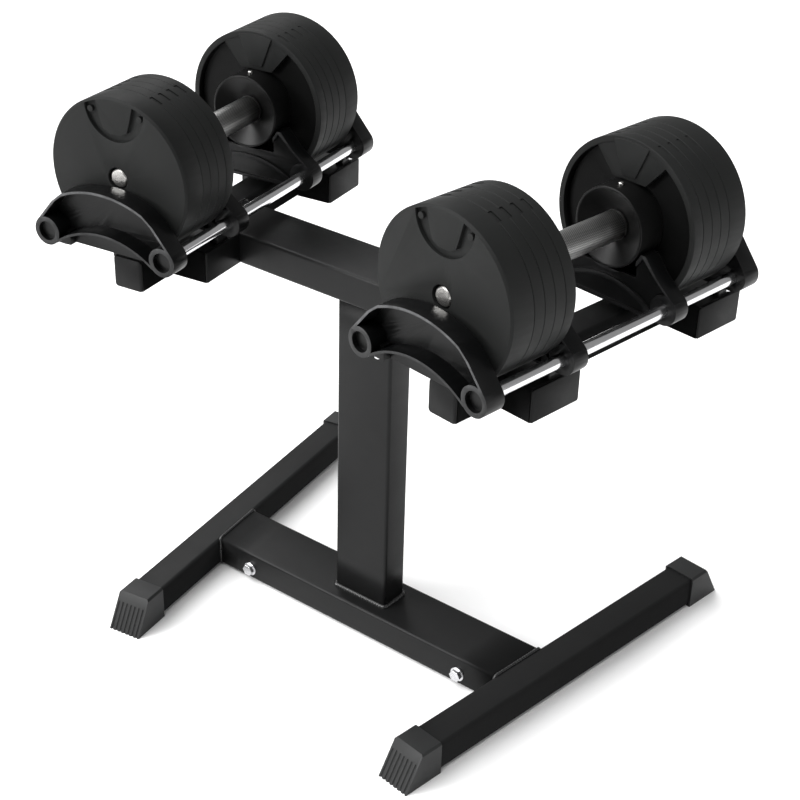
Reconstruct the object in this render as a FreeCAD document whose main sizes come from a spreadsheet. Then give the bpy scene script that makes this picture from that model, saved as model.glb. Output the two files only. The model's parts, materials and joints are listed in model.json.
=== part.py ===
"""Pair of twist-grip adjustable dumbbells in cradles on a floor stand (millimetres).

Row frame: origin on the floor under the middle of the whole object, +X along the
cross beams, +Y away from the user's side, +Z up. The two foot rails and the two
dumbbells are splayed: they stand closer together at -Y.

Each dumbbell and its cradle are drawn in a unit frame (X across the dumbbell,
Y along its axis, Z up from the floor) and put in place by one turn and one shift.
"""
import FreeCAD, Part

import os
import re

import Sketcher

doc = FreeCAD.newDocument("adjustable_dumbbell_pair")

# ---------------------------------------------------------------- driving sizes
SIZES = [
    ("splay_angle", 8.45, "turn of each rail and dumbbell about Z, degrees"),
    ("unit_offset", 250.0, "beam middle to dumbbell middle, along X"),
    ("axis_height", 605.0, "floor to dumbbell axis"),
    ("wide_tube", 80.0, "wide side of the beams and the post"),
    ("slim_tube", 40.0, "narrow side of the beams, side of the square tubes"),
    ("tube_wall", 2.0, "steel tube wall"),
    ("foot_lift", 2.5, "floor to underside of the foot rails"),
    ("rail_near", 199.0, "beam middle to the near end of a rail tube"),
    ("rail_far", 313.0, "beam middle to the far end of a rail tube"),
    ("cap_side", 45.0, "outer side of a foot cap"),
    ("cap_grip", 24.0, "length of rail inside a foot cap"),
    ("cap_low", 56.0, "length of a foot cap at the floor"),
    ("cap_high", 30.0, "length of a foot cap at its top"),
    ("cap_edge", 2.5, "chamfer along a foot cap's upper edges"),
    ("groove_pitch", 6.2, "spacing of the grooves on a cap's nose"),
    ("cap_slack", 0.05, "clearance of a cap round its rail"),
    ("groove_shift", 0.4, "groove axis outside the nose's face"),
    ("groove_radius", 1.5, "radius of a groove on a cap's nose"),
    ("beam_half", 248.0, "half length of a cross beam before its ends are trimmed"),
    ("beam_top", 505.0, "floor to the top of the top beam"),
    ("weld_side", 4.0, "weld flange standing out round the post"),
    ("weld_thick", 3.0, "thickness of the weld flange"),
    ("carrier_near", 174.0, "unit middle to the near end of the carrier tube"),
    ("stub_reach", 65.5, "unit middle to the outer end of a carrier stub"),
    ("stub_width", 74.0, "carrier stub along the dumbbell"),
    ("near_stub", -81.0, "middle of the near stub along the dumbbell"),
    ("far_stub", 193.0, "middle of the far stub along the dumbbell"),
    ("pad_width", 12.0, "riser pad on a stub, across the dumbbell"),
    ("plug_thick", 3.0, "visible thickness of a tube plug"),
    ("plug_inset", 0.6, "plug edge inside the tube's outline"),
    ("support_radius", 7.0, "support tube"),
    ("support_wall", 1.5, "wall of a support tube"),
    ("support_spread", 79.6, "unit middle to a support tube"),
    ("support_drop", 69.7, "dumbbell axis down to the support tubes"),
    ("support_half", 209.0, "half length of a support tube"),
    ("end_outer", 217.0, "unit middle to the outer face of an end arch"),
    ("end_depth", 25.0, "depth of an end arch"),
    ("end_web", 3.0, "thickness of the arch's web, on its inner side"),
    ("end_rim", 2.8, "thickness of the arch's flanges"),
    ("end_crest", 6.8, "dumbbell axis down to the arch crest"),
    ("end_top_radius", 131.4, "radius of the arch's upper edge"),
    ("knee_high", 32.7, "unit middle to a knee's line at the axis's level"),
    ("knee_out", 69.8, "unit middle to the upper end of a flank"),
    ("knee_drop", 30.9, "dumbbell axis down to the upper end of a flank"),
    ("flank_low", 92.8, "unit middle to the foot of a flank"),
    ("flank_share", 1.3, "width across a slanted flank over its thickness"),
    ("flank_fall", 58.9, "dumbbell axis down to the foot of a flank"),
    ("shelf_drop", 56.0, "dumbbell axis down to the shelf's crest"),
    ("shelf_radius", 111.0, "radius of the shelf"),
    ("shelf_reach", 66.0, "unit middle to the end of the shelf"),
    ("boss_radius", 17.0, "bosses round the support tubes"),
    ("boss_foot", 57.0, "unit middle to the inner side of a boss's flat foot"),
    ("foot_depth", 13.0, "flat foot of an end boss, along the dumbbell"),
    ("recess_radius", 11.5, "recess in the face of an end boss"),
    ("recess_depth", 6.0, "depth of that recess"),
    ("tube_slack", 0.05, "radial clearance of a support tube in its boss"),
    ("saddle_radius", 47.0, "saddle of an inner rib"),
    ("saddle_inner", 70.0, "unit middle to the inner face of a saddle rib"),
    ("saddle_depth", 21.0, "depth of a saddle rib"),
    ("horn_inner", 38.0, "unit middle to the inner corner of a horn"),
    ("horn_outer", 50.0, "unit middle to the outer corner of a horn"),
    ("horn_drop", 18.0, "dumbbell axis down to the top of a horn"),
    ("flank_out", 66.0, "unit middle to the bend in a rib's flank"),
    ("flank_drop", 37.0, "dumbbell axis down to that bend"),
    ("rib_web", 3.0, "thickness of a rib's web"),
    ("rib_recess", 2.5, "depth of the shallow recess on a rib's inner side"),
    ("rib_rim", 3.5, "thickness of a rib's flanges"),
    ("plate_radius", 93.0, "weight plate"),
    ("stack_inner", 93.0, "unit middle to the inner face of a stack"),
    ("stack_outer", 184.0, "unit middle to the outer face of a stack"),
    ("plate_pitch", 15.0, "spacing of the four thin plates"),
    ("plate_gap", 0.3, "gap between plates"),
    ("plate_edge", 0.6, "edge chamfer of a plate"),
    ("outer_edge", 2.5, "edge chamfer of the outer plate's face"),
    ("plate_bore", 11.0, "centre hole of a plate"),
    ("mouth_radius", 13.0, "mouth of the outer plate's centre hole"),
    ("mouth_depth", 8.0, "depth of that mouth"),
    ("key_rise", 83.0, "axis up to the middle of the U-shaped key slot"),
    ("key_radius", 40.0, "outer radius of the key slot"),
    ("tongue_top", 27.0, "half width of the tongue in the slot, at the rim"),
    ("tongue_waist", 19.0, "half width of the tongue where it starts to round off"),
    ("tongue_tip", 7.0, "half width of the tongue's blunt end"),
    ("waist_rise", 65.0, "axis up to where the tongue starts to round off"),
    ("tip_rise", 51.5, "axis up to the tongue's blunt end"),
    ("stud_radius", 3.6, "studs in the outer plate's slot"),
    ("stud_spread", 33.0, "middle line to a stud"),
    ("stud_rise", 75.0, "axis up to a stud"),
    ("stud_sink", 0.8, "stud's end below the plate's face"),
    ("key_depth", 4.5, "depth of the key slot"),
    ("key_gap", 0.4, "clearance of the key in its slot"),
    ("slot_lip", 3.0, "rim left outside the outer plate's slot"),
    ("fuse_depth", 0.5, "overlap of two shapes that are fused"),
    ("cup_radius", 86.0, "recess of the innermost plate"),
    ("cup_depth", 9.0, "depth of that recess"),
    ("lug_narrow", 22.0, "half width of the cup's lug at the hub"),
    ("lug_broad", 58.0, "half width of the cup's lug at the rim"),
    ("lug_sink", 0.6, "lug face below the rim's face"),
    ("tongue_narrow", 9.0, "half width of the lug's tongue at the hub"),
    ("tongue_broad", 26.0, "half width of the lug's tongue at the rim"),
    ("tongue_stand", 1.4, "tongue standing out from the rim's face"),
    ("hub_radius", 45.0, "hub drum"),
    ("hub_face", 66.0, "unit middle to the hub's face"),
    ("hub_dish", 13.0, "depth of the hub's conical dish"),
    ("hub_lip", 2.5, "flat rim round the dish"),
    ("hub_throat", 17.6, "radius at the bottom of the dish"),
    ("hub_edge", 1.0, "edge chamfer of the hub"),
    ("grip_radius", 16.5, "grip sleeve"),
    ("grip_bore", 13.45, "bore of the grip sleeve"),
    ("grip_half", 78.7, "half length of the grip sleeve"),
    ("core_radius", 13.4, "fixed core tube"),
    ("core_slack", 0.03, "clearance of the core tube in a hub"),
    ("core_bore", 10.57, "bore of the core tube"),
    ("core_half", 101.7, "half length of the core tube"),
    ("slot_width", 6.0, "drive slot in the core tube"),
    ("slot_inner", 12.0, "unit middle to a drive slot's inner end"),
    ("slot_outer", 88.0, "unit middle to a drive slot's outer end"),
    ("bar_radius", 10.5, "selector bar"),
    ("bar_inner", 92.0, "unit middle to a bar's inner end"),
    ("bar_outer", 182.5, "unit middle to a bar's outer end"),
    ("bar_edge", 1.2, "edge chamfer of a bar"),
    ("pin_radius", 3.0, "lock pin"),
    ("pin_clear", 0.08, "radial clearance of the lock pin"),
    ("pin_place", 81.0, "unit middle to the lock pin"),
    ("pin_stand", 2.6, "lock pin above the hub"),
    ("pin_length", 12.0, "lock pin"),
    ("pin_bevel", 0.8, "bevel on the lock pin's tip"),
    ("pin_spare", 2.0, "hole below the pressed pin"),
    ("pin_travel", 2.4, "travel of the lock pin"),
    ("head_radius", 8.0, "hexagon head, to its corners"),
    ("head_height", 5.3, "hexagon head"),
    ("shank_radius", 4.0, "bolt shank"),
    ("bolt_slack", 0.2, "clearance of a bolt in its hole"),
    ("bolt_length", 30.0, "bolt under its head"),
    ("washer_radius", 9.5, "washer"),
    ("washer_thick", 1.6, "washer"),
    ("base_bolt_x", 170.0, "beam middle to a base bolt"),
    ("base_bolt_z", 18.0, "floor to a base bolt"),
    ("screw_radius", 4.4, "small hexagon screw head, to its corners"),
    ("screw_height", 4.0, "small hexagon screw head"),
    ("screw_spread", 70.8, "unit middle to a foot screw"),
]
ALIASES = {alias for alias, _, _ in SIZES}

sheet = doc.addObject("Spreadsheet::Sheet", "size")
for row, (alias, value, meaning) in enumerate(SIZES, start=1):
    sheet.set(f"A{row}", alias)
    sheet.set(f"B{row}", str(value))
    sheet.set(f"C{row}", meaning)
    sheet.setAlias(f"B{row}", alias)
doc.recompute()

# rules that several sub-parts share
COSINE = "cos(splay_angle * 1 deg)"
SINE = "sin(splay_angle * 1 deg)"
SHIFT_BACK = f"(rail_far - rail_near) / 2 * {COSINE}"
FOOT_LEVEL = "axis_height - support_drop - boss_radius"
SUPPORT_HEIGHT = "axis_height - support_drop"
STUB_TOP = "beam_top"
SIGN = {"left": -1, "right": 1, "near": -1, "far": 1}
THIN_PLATES = ("cup", "second", "third", "fourth")

ALONG_Y = FreeCAD.Rotation(FreeCAD.Vector(1, 0, 0), -90)
ALONG_DOWN = FreeCAD.Rotation(FreeCAD.Vector(1, 0, 0), 180)
SKETCH_XZ = FreeCAD.Rotation(FreeCAD.Vector(1, 0, 0), 90)
TURN_ABOUT_Z = FreeCAD.Rotation(FreeCAD.Vector(0, 0, 1), 1)

nodes = {}


# ---------------------------------------------------------------- small helpers
def rule(text):
    """Turn 'wide_tube / 2' into the expression 'size.wide_tube / 2'."""
    return re.sub(r"[a-z_]+", lambda m: "size." + m[0] if m[0] in ALIASES else m[0], str(text))


def bind(obj, **rules):
    """Bind properties to sheet rules; a double underscore stands for a dot."""
    for prop, text in rules.items():
        obj.setExpression(prop.replace("__", "."), rule(text))
    return obj


def move(obj, x, y, z):
    return bind(obj, Placement__Base__x=x, Placement__Base__y=y, Placement__Base__z=z)


def block(name, x, y, z, wide, deep, high):
    """Box centred on x, starting at y and z."""
    obj = doc.addObject("Part::Box", name)
    bind(obj, Length=wide, Width=deep, Height=high)
    return move(obj, f"({x}) - ({wide}) / 2", y, z)


def rod(name, radius, start, length, x=0, z="axis_height"):
    """Cylinder along +Y."""
    obj = doc.addObject("Part::Cylinder", name)
    obj.Placement = FreeCAD.Placement(FreeCAD.Vector(), ALONG_Y)
    bind(obj, Radius=radius, Height=length)
    return move(obj, x, start, z)


def span(sign, low, high):
    """Start and length along Y of a stretch from low to high, mirrored when sign is -1."""
    start = low if sign > 0 else f"-({high})"
    return start, f"({high}) - ({low})"


def outline(name, points, placement, y="0", z="0"):
    """Closed outline in a sketch; each corner is a pair of sheet rules (across, up)."""
    sketch = doc.addObject("Sketcher::SketchObject", name)
    sketch.Placement = placement
    count = len(points)
    numbers = [[evaluate(part) for part in point] for point in points]
    for k in range(count):
        start = FreeCAD.Vector(*numbers[k], 0)
        end = FreeCAD.Vector(*numbers[(k + 1) % count], 0)
        sketch.addGeometry(Part.LineSegment(start, end), False)
    for k in range(count):
        sketch.addConstraint(Sketcher.Constraint("Coincident", k, 2, (k + 1) % count, 1))
    for k, point in enumerate(points):
        for kind, number, text in zip(("DistanceX", "DistanceY"), numbers[k], point):
            index = sketch.addConstraint(Sketcher.Constraint(kind, -1, 1, k, 1, number))
            sketch.setExpression(f"Constraints[{index}]", rule(text))
    return bind(sketch, Placement__Base__y=y, Placement__Base__z=z)


def evaluate(text):
    """Value of a sheet rule, for the first guess of a sketch."""
    return float(sheet.evalExpression(rule(text)))


def prism(name, points, start, length):
    """Outline across and up, drawn out along +Y."""
    base = outline(name + "_outline", points, FreeCAD.Placement(FreeCAD.Vector(), SKETCH_XZ),
                   y=start, z="axis_height")
    obj = doc.addObject("Part::Extrusion", name)
    obj.Base = base
    obj.DirMode = "Custom"
    obj.Dir = FreeCAD.Vector(0, 1, 0)
    obj.Solid = True
    return bind(obj, LengthFwd=length)


def turned(name, points):
    """Outline of (radius, distance along Y) turned about the dumbbell axis."""
    base = outline(name + "_outline", points, FreeCAD.Placement(), z="axis_height")
    obj = doc.addObject("Part::Revolution", name)
    obj.Source = base
    obj.Axis = FreeCAD.Vector(0, 1, 0)
    obj.Angle = 360
    obj.Solid = True
    return bind(obj, Base__z="axis_height")


def fuse(name, *parts):
    obj = doc.addObject("Part::MultiFuse", name)
    obj.Shapes = list(parts)
    return obj


def cut(name, base, *tools):
    obj = doc.addObject("Part::Cut", name)
    obj.Base = base
    obj.Tool = tools[0] if len(tools) == 1 else fuse(name + "_tools", *tools)
    return obj


def common(name, *parts):
    obj = doc.addObject("Part::MultiCommon", name)
    obj.Shapes = list(parts)
    return obj


def group(name, parts):
    """Separate solids kept together in one node."""
    obj = doc.addObject("Part::Compound", name)
    obj.Links = list(parts)
    return obj


def node(obj, label):
    obj.Label = label
    nodes[label] = obj
    return obj


def place_centre(obj, label):
    """Beam frame to row frame: a shift only."""
    bind(obj, Placement__Base__y=f"-{SHIFT_BACK}")
    return node(obj, label)


def turn_with_unit(obj, side, x="0", y="0", z="0", flip=0):
    """Put the object's own origin at (x, y, z) of a unit frame, turned with the unit."""
    sign = SIGN[side]
    obj.Placement = FreeCAD.Placement(FreeCAD.Vector(), TURN_ABOUT_Z)
    return bind(obj,
                Placement__Rotation__Angle=f"{flip} - {sign} * splay_angle",
                Placement__Base__x=f"{sign} * unit_offset + ({x}) * {COSINE} + {sign} * ({y}) * {SINE}",
                Placement__Base__y=f"({y}) * {COSINE} - {sign} * ({x}) * {SINE}",
                Placement__Base__z=z)


def place_unit(obj, label, side, y="0", flip=0):
    """Unit frame to row frame."""
    turn_with_unit(obj, side, y=y, flip=flip)
    sign = SIGN[side]
    bind(obj, Placement__Base__y=f"({y}) * {COSINE} - {SHIFT_BACK}",
         Placement__Base__x=f"{sign} * unit_offset + {sign} * ({y}) * {SINE}")
    return node(obj, label)


# ---------------------------------------------------------------- floor frame
def tube_pair(name, x, y, z, wide, deep, high, open_along):
    """Outside and inside of a rectangular tube that is open along one direction."""
    outer = block(name + "_outside", x, y, z, wide, deep, high)
    spare = {axis: "4 * tube_wall" if axis == open_along else "0" for axis in "XYZ"}
    inner = block(name + "_inside", x,
                  f"({y}) + tube_wall - ({spare['Y']}) / 2",
                  f"({z}) + tube_wall - ({spare['Z']}) / 2",
                  f"({wide}) - 2 * tube_wall + ({spare['X']})",
                  f"({deep}) - 2 * tube_wall + ({spare['Y']})",
                  f"({high}) - 2 * tube_wall + ({spare['Z']})")
    return outer, inner


def end_trim(name, side, z):
    """Block turned with a unit, its inner side on the inner side of the unit's square tube."""
    obj = doc.addObject("Part::Box", name)
    bind(obj, Length="beam_half", Width="2 * beam_half", Height="2 * slim_tube")
    x = "-slim_tube / 2" if side == "right" else "slim_tube / 2 - beam_half"
    return turn_with_unit(obj, side, x=x, y="-beam_half", z=z)


def stub_trim(side):
    """Block on the inner half of a carrier's near stub and its plug."""
    obj = doc.addObject("Part::Box", f"{side}_stub_trim")
    bind(obj, Length="stub_reach + plug_thick", Width="stub_width", Height="slim_tube")
    x = "-stub_reach - plug_thick" if side == "right" else 0
    return turn_with_unit(obj, side, x=x, y="near_stub - stub_width / 2", z="beam_top - slim_tube")


def make_beam(label, z, tools):
    """Cross beam with both ends trimmed to the splayed tubes they are welded to."""
    outer, inner = tube_pair(label, "0", "-wide_tube / 2", z,
                             "2 * beam_half", "wide_tube", "slim_tube", "X")
    trims = [end_trim(f"{label}_{side}_trim", side, f"({z}) - slim_tube / 2") for side in ("left", "right")]
    place_centre(cut(label + "_cut", outer, inner, *trims, *tools), label)


def make_post():
    """Upright with a weld flange at its foot, between the two beams."""
    low = "foot_lift + slim_tube"
    high = f"beam_top - slim_tube - ({low})"
    outer, inner = tube_pair("post", "0", "-slim_tube / 2", low, "wide_tube", "slim_tube", high, "Z")
    flange = block("post_flange", "0", "-slim_tube / 2 - weld_side", low,
                   "wide_tube + 2 * weld_side", "slim_tube + 2 * weld_side", "weld_thick")
    place_centre(cut("post_cut", fuse("post_body", outer, flange), inner), "upright_post")


def make_rail(side):
    outer, inner = tube_pair(f"{side}_rail", "0", "-rail_near", "foot_lift",
                             "slim_tube", "rail_near + rail_far", "slim_tube", "Y")
    place_unit(cut(f"{side}_rail_cut", outer, inner), f"{side}_foot_rail", side)


def make_cap(side, end):
    """Moulded cap: a sleeve over the rail's end with a slanted, grooved nose."""
    name = f"{side}_{end}_cap"
    body = doc.addObject("PartDesign::Body", name + "_body")
    sketch = body.newObject("Sketcher::SketchObject", name + "_profile")
    plane = [item for item in body.Origin.OriginFeatures if item.Role == "YZ_Plane"][0]
    sketch.AttachmentSupport = [(plane, "")]
    sketch.MapMode = "FlatFace"
    low, high, tall = evaluate("cap_low"), evaluate("cap_high"), evaluate("cap_side")
    corners = [(0, 0), (low, 0), (high, tall), (0, tall)]
    for k in range(4):
        start = FreeCAD.Vector(*corners[k], 0)
        finish = FreeCAD.Vector(*corners[(k + 1) % 4], 0)
        sketch.addGeometry(Part.LineSegment(start, finish), False)
    for k in range(4):
        sketch.addConstraint(Sketcher.Constraint("Coincident", k, 2, (k + 1) % 4, 1))
    sketch.addConstraint(Sketcher.Constraint("Horizontal", 0))
    sketch.addConstraint(Sketcher.Constraint("Horizontal", 2))
    sketch.addConstraint(Sketcher.Constraint("Vertical", 3))
    sketch.addConstraint(Sketcher.Constraint("Coincident", 0, 1, -1, 1))
    for kind, line, number, text in (("DistanceX", 1, low, "cap_low"),
                                     ("DistanceX", 2, high, "cap_high"),
                                     ("DistanceY", 2, tall, "cap_side")):
        index = sketch.addConstraint(Sketcher.Constraint(kind, -1, 1, line, 1, number))
        sketch.setExpression(f"Constraints[{index}]", rule(text))
    pad = body.newObject("PartDesign::Pad", name + "_pad")
    pad.Profile = sketch
    pad.Midplane = True
    bind(pad, Length="cap_side")
    doc.recompute()
    top_edges = [f"Edge{k}" for k, edge in enumerate(pad.Shape.Edges, start=1)
                 if edge.BoundBox.ZMin > tall - 1 and edge.BoundBox.YLength > 1]
    chamfer = body.newObject("PartDesign::Chamfer", name + "_edges")
    chamfer.Base = (pad, top_edges)
    bind(chamfer, Size="cap_edge")
    body.Tip = chamfer
    socket = block(name + "_socket", "0", "-1", "foot_lift - cap_slack", "slim_tube + 2 * cap_slack",
                   "cap_grip + 1 + cap_slack", "slim_tube + 2 * cap_slack")
    grooves = []
    lean = FreeCAD.Rotation(FreeCAD.Vector(1, 0, 0), 1)
    for k in range(-3, 4):
        groove = doc.addObject("Part::Cylinder", f"{name}_groove_{k + 4}")
        groove.Placement = FreeCAD.Placement(FreeCAD.Vector(), lean)
        bind(groove, Radius="groove_radius", Height="2 * cap_side",
             Placement__Rotation__Angle="atan((cap_low - cap_high) / cap_side)")
        grooves.append(move(groove, f"{k} * groove_pitch", "2 * cap_low - cap_high + groove_shift",
                            "-cap_side"))
    capped = cut(name + "_cut", body, socket, *grooves)
    if end == "near":
        return place_unit(capped, name, side, y="cap_grip - rail_near", flip=180)
    return place_unit(capped, name, side, y="rail_far - cap_grip")


def make_carrier(side):
    """Square tube under the cradle with two wide cross stubs and their riser pads."""
    name = f"{side}_carrier"
    level = "beam_top - slim_tube"
    along = tube_pair(name + "_along", "0", "-carrier_near", level,
                      "slim_tube", "carrier_near + far_stub", "slim_tube", "Y")
    near = tube_pair(name + "_near", "0", "near_stub - stub_width / 2", level,
                     "2 * stub_reach", "stub_width", "slim_tube", "X")
    far = tube_pair(name + "_far", "0", "far_stub - stub_width / 2", level,
                    "2 * stub_reach", "stub_width", "slim_tube", "X")
    frame = cut(name + "_frame", fuse(name + "_outsides", along[0], near[0], far[0]),
                along[1], near[1], far[1])
    pads = []
    for tag, start in (("near", "-(saddle_inner + saddle_depth)"), ("far", "end_outer - end_depth")):
        for way in (-1, 1):
            pads.append(block(f"{name}_{tag}_pad_{way + 1}", f"{way} * (stub_reach - pad_width / 2)",
                              start, f"{STUB_TOP} - fuse_depth", "pad_width", "saddle_depth",
                              f"{FOOT_LEVEL} - {STUB_TOP} + fuse_depth"))
    place_unit(fuse(name + "_welded", frame, *pads), name, side)


def unit_plugs(side):
    """Thin plugs that close the open ends of one carrier's tubes."""
    level = "beam_top - slim_tube + plug_inset"
    high = "slim_tube - 2 * plug_inset"
    plugs = [block(f"{side}_tube_plug", "0", "-carrier_near - plug_thick", level, high, "plug_thick", high)]
    for tag in ("near", "far"):
        for way in (-1, 1):
            plugs.append(block(f"{side}_{tag}_stub_plug_{way + 1}",
                               f"{way} * (stub_reach + plug_thick / 2)",
                               f"{tag}_stub - stub_width / 2 + plug_inset", level,
                               "plug_thick", "stub_width - 2 * plug_inset", high))
    return plugs


# ---------------------------------------------------------------- cradle
def both_sides(half):
    """Outline from its right half, listed from the bottom up."""
    return half + [(f"-({across})", up) for across, up in reversed(half)]


def shelf(name, reach, inset):
    """Everything under the shelf's arc, set down by `inset`."""
    return rod(name, f"shelf_radius - ({inset})", *reach, z="axis_height - shelf_drop - shelf_radius")


def shelf_band(name, reach, thick):
    """Arched shelf between the two bosses."""
    band = cut(name + "_band", shelf(name + "_top", reach, "0"), shelf(name + "_under", reach, thick))
    clip = block(name + "_clip", "0", reach[0], FOOT_LEVEL, "2 * shelf_reach", reach[1], "shelf_radius")
    return common(name, band, clip)


def boss_bores(name, reach):
    """Bosses on both support tubes, and the bores through them."""
    bosses = [rod(f"{name}_boss_{way + 1}", "boss_radius", *reach[0],
                  x=f"{way} * support_spread", z=SUPPORT_HEIGHT) for way in (-1, 1)]
    bores = [rod(f"{name}_bore_{way + 1}", "support_radius + tube_slack", *reach[1],
                 x=f"{way} * support_spread", z=SUPPORT_HEIGHT) for way in (-1, 1)]
    return bosses, bores


def arched(name, reach, inset):
    """Region under the crest's arc, its knees and its slanted flanks, set in by `inset`."""
    half = [("shelf_reach - 2", "-support_drop - boss_radius / 2"), ("support_spread", "-support_drop"),
            (f"flank_low - flank_share * ({inset})", "-flank_fall"),
            (f"knee_out - flank_share * ({inset})", "-knee_drop"),
            (f"knee_high - flank_share * ({inset})", "0")]
    arc = rod(name + "_arc", f"end_top_radius - ({inset})", *reach,
              z="axis_height - end_crest - end_top_radius")
    return common(name, prism(name + "_flanks", both_sides(half), *reach), arc)


def end_arch(side, end):
    """End piece: web on its inner side, arched flange, shelf and a boss at each end."""
    name = f"{side}_{end}_arch"
    sign = SIGN[end]
    full = span(sign, "end_outer - end_depth", "end_outer")
    open_part = span(sign, "end_outer - end_depth + end_web", "end_outer + 1")
    plate = block(name + "_plate", "0", full[0], FOOT_LEVEL, "2 * boss_foot", full[1], "2 * boss_radius")
    pocket = cut(name + "_pocket", arched(name + "_inside", open_part, "end_rim"),
                 shelf(name + "_floor", open_part, "0"))
    solid = cut(name + "_web", fuse(name + "_blank", arched(name + "_outside", full, "0"), plate),
                pocket, shelf(name + "_below", open_part, "end_rim"))
    pieces = [solid, shelf_band(name + "_shelf", full, "end_rim")]
    foot = span(sign, "end_outer - end_depth", "end_outer - end_depth + foot_depth")
    for way in (-1, 1):
        pieces.append(block(f"{name}_foot_{way + 1}", f"{way} * (support_spread + boss_foot) / 2",
                            foot[0], FOOT_LEVEL, "support_spread - boss_foot", foot[1], "boss_radius"))
    deep = span(sign, "end_outer - end_depth - 1", "support_half")
    bosses, bores = boss_bores(name, (full, deep))
    mouth = span(sign, "end_outer - recess_depth", "end_outer + 1")
    for way in (-1, 1):
        bores.append(rod(f"{name}_mouth_{way + 1}", "recess_radius", *mouth,
                         x=f"{way} * support_spread", z=SUPPORT_HEIGHT))
    place_unit(cut(name + "_bored", fuse(name + "_solid", *pieces, *bosses), *bores), name, side)


def rib_hollow(name, reach):
    """Hollows of a rib: one between saddle and shelf, one under the shelf."""
    half = [("shelf_reach - 2", "-support_drop - boss_radius / 2"), ("support_spread", "-support_drop"),
            ("flank_low - flank_share * rib_rim", "-flank_fall"), ("flank_out - rib_rim", "-flank_drop"),
            ("horn_outer - rib_rim", "-horn_drop - rib_rim")]
    upper = cut(name + "_upper", prism(name + "_flanks", both_sides(half), *reach),
                rod(name + "_seat", "saddle_radius + rib_rim", *reach), shelf(name + "_shelf", reach, "0"))
    lower = common(name + "_lower", shelf(name + "_below", reach, "1.5 * rib_rim"),
                   block(name + "_clip", "0", reach[0], f"{FOOT_LEVEL} + rib_rim",
                         "2 * (boss_foot - rib_rim)", reach[1], "shelf_radius"))
    return fuse(name, upper, lower)


def saddle_rib(side, end):
    """Inner rib: two horns beside the hub, a saddle between them, a boss on each tube."""
    name = f"{side}_{end}_saddle"
    sign = SIGN[end]
    full = span(sign, "saddle_inner", "saddle_inner + saddle_depth")
    half = [("support_spread", "-support_drop - boss_radius"), ("support_spread", "-support_drop"),
            ("flank_low", "-flank_fall"), ("flank_out", "-flank_drop"), ("horn_outer", "-horn_drop"),
            ("horn_inner", "-horn_drop"), ("horn_inner", "-saddle_radius")]
    body = prism(name + "_blank", both_sides(half), *full)
    web_start = "saddle_inner + rib_recess"
    hollows = [rib_hollow(name + "_inner_hollow", span(sign, "saddle_inner - 1", web_start)),
               rib_hollow(name + "_outer_hollow", span(sign, f"{web_start} + rib_web",
                                                       "saddle_inner + saddle_depth + 1"))]
    bosses, bores = boss_bores(name, (full, full))
    hollowed = cut(name + "_hollowed", body, rod(name + "_seat", "saddle_radius", *full), *hollows)
    place_unit(cut(name + "_cut", fuse(name + "_solid", hollowed, *bosses), *bores), name, side)


def support_tube(side, way, label):
    x = f"{way} * support_spread"
    outer = rod(label + "_outside", "support_radius", "-support_half", "2 * support_half",
                x=x, z=SUPPORT_HEIGHT)
    inner = rod(label + "_inside", "support_radius - support_wall", "-support_half - 1",
                "2 * support_half + 2", x=x, z=SUPPORT_HEIGHT)
    place_unit(cut(label + "_cut", outer, inner), label, side)


def hexagon(name, radius, height, rotation, x, y, z):
    obj = doc.addObject("Part::Prism", name)
    obj.Polygon = 6
    obj.Placement = FreeCAD.Placement(FreeCAD.Vector(), rotation)
    bind(obj, Circumradius=radius, Height=height)
    return move(obj, x, y, z)


def unit_screws(side):
    """Small hexagon screws that hold the support tubes in the end pieces' bosses."""
    screws = []
    for end in ("near", "far"):
        middle = f"{SIGN[end]} * (end_outer - end_depth + foot_depth / 2)"
        for way in (-1, 1):
            screws.append(hexagon(f"{side}_{end}_screw_{way + 1}", "screw_radius", "screw_height",
                                  ALONG_DOWN, f"{way} * screw_spread", middle, FOOT_LEVEL))
    return screws


# ---------------------------------------------------------------- dumbbell
def key_band(name, sign, low, high, spare, rim):
    """U-shaped band round a tongue, inside the radius `rim`, as a slot (spare 0) or a key."""
    reach = span(sign, low, high)
    half = [(f"tongue_tip + {spare}", f"tip_rise - {spare}"),
            (f"tongue_waist - 3 + {spare}", f"waist_rise - 9 - {spare}"),
            (f"tongue_waist + {spare}", "waist_rise"), (f"tongue_top + {spare}", "plate_radius + 2")]
    ring = cut(name + "_ring",
               rod(name + "_outer", f"key_radius - {spare}", *reach, z="axis_height + key_rise"),
               prism(name + "_tongue", both_sides(half), *reach))
    return common(name, ring, rod(name + "_clip", rim, *reach))


def plate_span(index):
    """Inner and outer face of plate number index (0 is the cup beside the hub)."""
    start = f"stack_inner + {index} * plate_pitch"
    if index == len(THIN_PLATES):
        return start, "stack_outer"
    return start, f"{start} + plate_pitch - plate_gap"


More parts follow.
